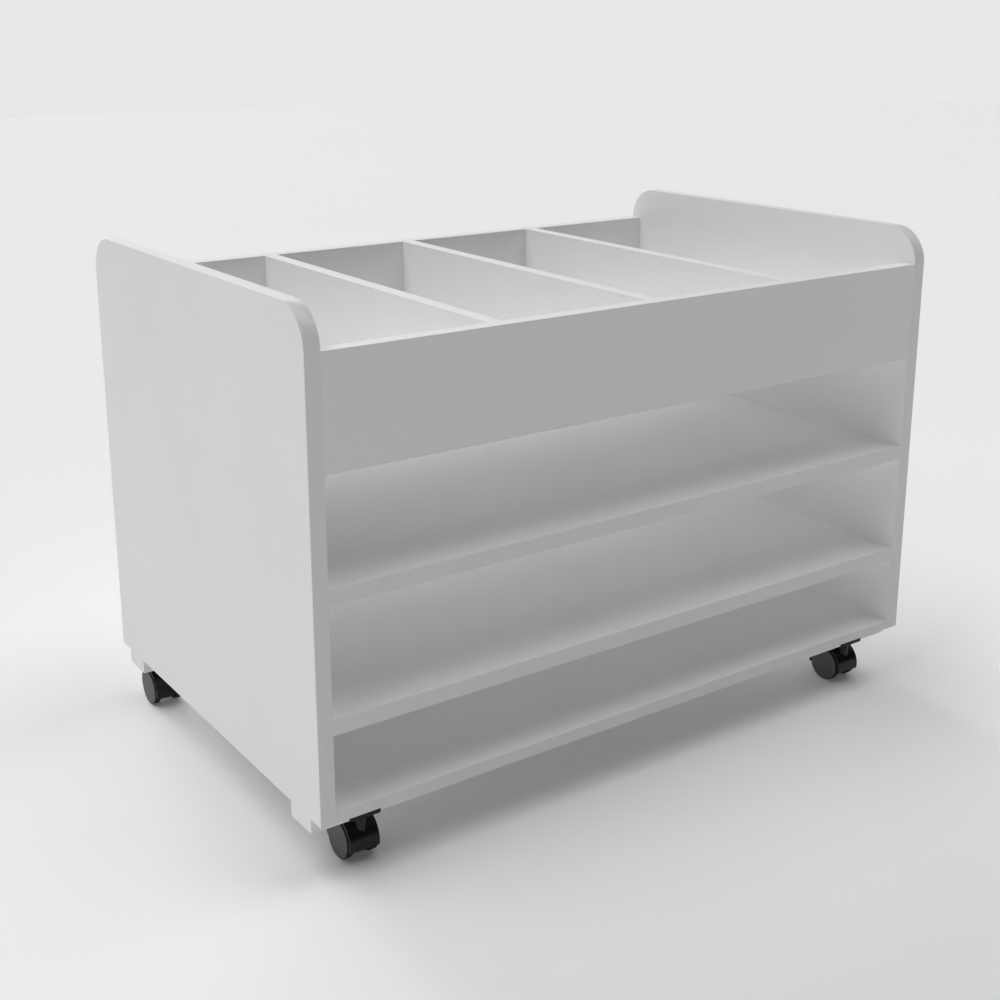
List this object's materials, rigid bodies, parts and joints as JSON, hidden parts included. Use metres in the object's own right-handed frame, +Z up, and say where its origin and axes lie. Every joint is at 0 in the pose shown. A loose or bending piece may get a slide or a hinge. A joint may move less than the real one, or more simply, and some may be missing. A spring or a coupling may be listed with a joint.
{
  "type": "book cart",
  "caption": "Mobile book cart with open divided bins on top, open shelf bays below and swivel twin-wheel casters.",
  "frame": {"origin": "on the floor, under the middle of the cart", "axes": "+X to the right along the cart's length, -Y towards the front, +Z up"},
  "size_m": [0.9144, 0.5716, 0.6412],
  "materials": {
    "laminate_board": "light grey melamine laminate, matt",
    "edge_band": "light grey edge band, matt",
    "zinc_steel": "zinc plated",
    "black_steel": "satin black coated steel",
    "beech": "bare beech",
    "black_nylon": "satin black",
    "wheel_nylon": "satin black tread",
    "cap_grey": "satin dark grey"
  },
  "bodies": {
    "cabinet": {"left_end_panel": "laminate_board", "right_end_panel": "laminate_board", "left_end_band": "edge_band", "right_end_band": "edge_band", "front_fascia": "laminate_board", "rear_fascia": "laminate_board", "fascia_bands": "edge_band", "bin_floor": "laminate_board", "left_divider": "laminate_board", "middle_divider": "laminate_board", "right_divider": "laminate_board", "divider_bands": "edge_band", "upper_shelf": "laminate_board", "lower_shelf": "laminate_board", "bottom_panel": "laminate_board", "shelf_bands": "edge_band", "front_rail": "laminate_board", "rear_rail": "laminate_board", "cam_bolts": "zinc_steel", "cam_locks": "zinc_steel", "wood_dowels": "beech", "rail_end_screws": "zinc_steel", "rail_panel_screws": "zinc_steel", "caster_screws": "black_steel", "grip_rings": "zinc_steel", "fl_plate": "black_steel", "fl_stem": "zinc_steel", "fr_plate": "black_steel", "fr_stem": "zinc_steel", "rl_plate": "black_steel", "rl_stem": "zinc_steel", "rr_plate": "black_steel", "rr_stem": "zinc_steel"},
    "front_left_swivel": {"fl_hood": "black_nylon", "fl_axle": "zinc_steel"},
    "front_left_left_wheel": {"fl_wheel_l": "wheel_nylon", "fl_cap_l": "cap_grey"},
    "front_left_right_wheel": {"fl_wheel_r": "wheel_nylon", "fl_cap_r": "cap_grey"},
    "front_right_swivel": {"fr_hood": "black_nylon", "fr_axle": "zinc_steel"},
    "front_right_left_wheel": {"fr_wheel_l": "wheel_nylon", "fr_cap_l": "cap_grey"},
    "front_right_right_wheel": {"fr_wheel_r": "wheel_nylon", "fr_cap_r": "cap_grey"},
    "rear_left_swivel": {"rl_hood": "black_nylon", "rl_axle": "zinc_steel"},
    "rear_left_left_wheel": {"rl_wheel_l": "wheel_nylon", "rl_cap_l": "cap_grey"},
    "rear_left_right_wheel": {"rl_wheel_r": "wheel_nylon", "rl_cap_r": "cap_grey"},
    "rear_right_swivel": {"rr_hood": "black_nylon", "rr_axle": "zinc_steel"},
    "rear_right_left_wheel": {"rr_wheel_l": "wheel_nylon", "rr_cap_l": "cap_grey"},
    "rear_right_right_wheel": {"rr_wheel_r": "wheel_nylon", "rr_cap_r": "cap_grey"}
  },
  "joints": [
    {"name": "front_left_swivel", "type": "hinge", "parent": "cabinet", "child": "front_left_swivel", "pos_m": [-0.3908, -0.24675, 0.05], "axis": [0, 0, 1], "continuous": true},
    {"name": "front_left_left_wheel_spin", "type": "hinge", "parent": "front_left_swivel", "child": "front_left_left_wheel", "pos_m": [-0.3908, -0.23375, 0.0232], "axis": [1, 0, 0], "continuous": true},
    {"name": "front_left_right_wheel_spin", "type": "hinge", "parent": "front_left_swivel", "child": "front_left_right_wheel", "pos_m": [-0.3908, -0.23375, 0.0232], "axis": [1, 0, 0], "continuous": true},
    {"name": "front_right_swivel", "type": "hinge", "parent": "cabinet", "child": "front_right_swivel", "pos_m": [0.3908, -0.24675, 0.05], "axis": [0, 0, 1], "continuous": true},
    {"name": "front_right_left_wheel_spin", "type": "hinge", "parent": "front_right_swivel", "child": "front_right_left_wheel", "pos_m": [0.3908, -0.23375, 0.0232], "axis": [1, 0, 0], "continuous": true},
    {"name": "front_right_right_wheel_spin", "type": "hinge", "parent": "front_right_swivel", "child": "front_right_right_wheel", "pos_m": [0.3908, -0.23375, 0.0232], "axis": [1, 0, 0], "continuous": true},
    {"name": "rear_left_swivel", "type": "hinge", "parent": "cabinet", "child": "rear_left_swivel", "pos_m": [-0.422, 0.22975, 0.05], "axis": [0, 0, 1], "continuous": true},
    {"name": "rear_left_left_wheel_spin", "type": "hinge", "parent": "rear_left_swivel", "child": "rear_left_left_wheel", "pos_m": [-0.422, 0.24275, 0.0232], "axis": [1, 0, 0], "continuous": true},
    {"name": "rear_left_right_wheel_spin", "type": "hinge", "parent": "rear_left_swivel", "child": "rear_left_right_wheel", "pos_m": [-0.422, 0.24275, 0.0232], "axis": [1, 0, 0], "continuous": true},
    {"name": "rear_right_swivel", "type": "hinge", "parent": "cabinet", "child": "rear_right_swivel", "pos_m": [0.422, 0.22975, 0.05], "axis": [0, 0, 1], "continuous": true},
    {"name": "rear_right_left_wheel_spin", "type": "hinge", "parent": "rear_right_swivel", "child": "rear_right_left_wheel", "pos_m": [0.422, 0.24275, 0.0232], "axis": [1, 0, 0], "continuous": true},
    {"name": "rear_right_right_wheel_spin", "type": "hinge", "parent": "rear_right_swivel", "child": "rear_right_right_wheel", "pos_m": [0.422, 0.24275, 0.0232], "axis": [1, 0, 0], "continuous": true}
  ]
}
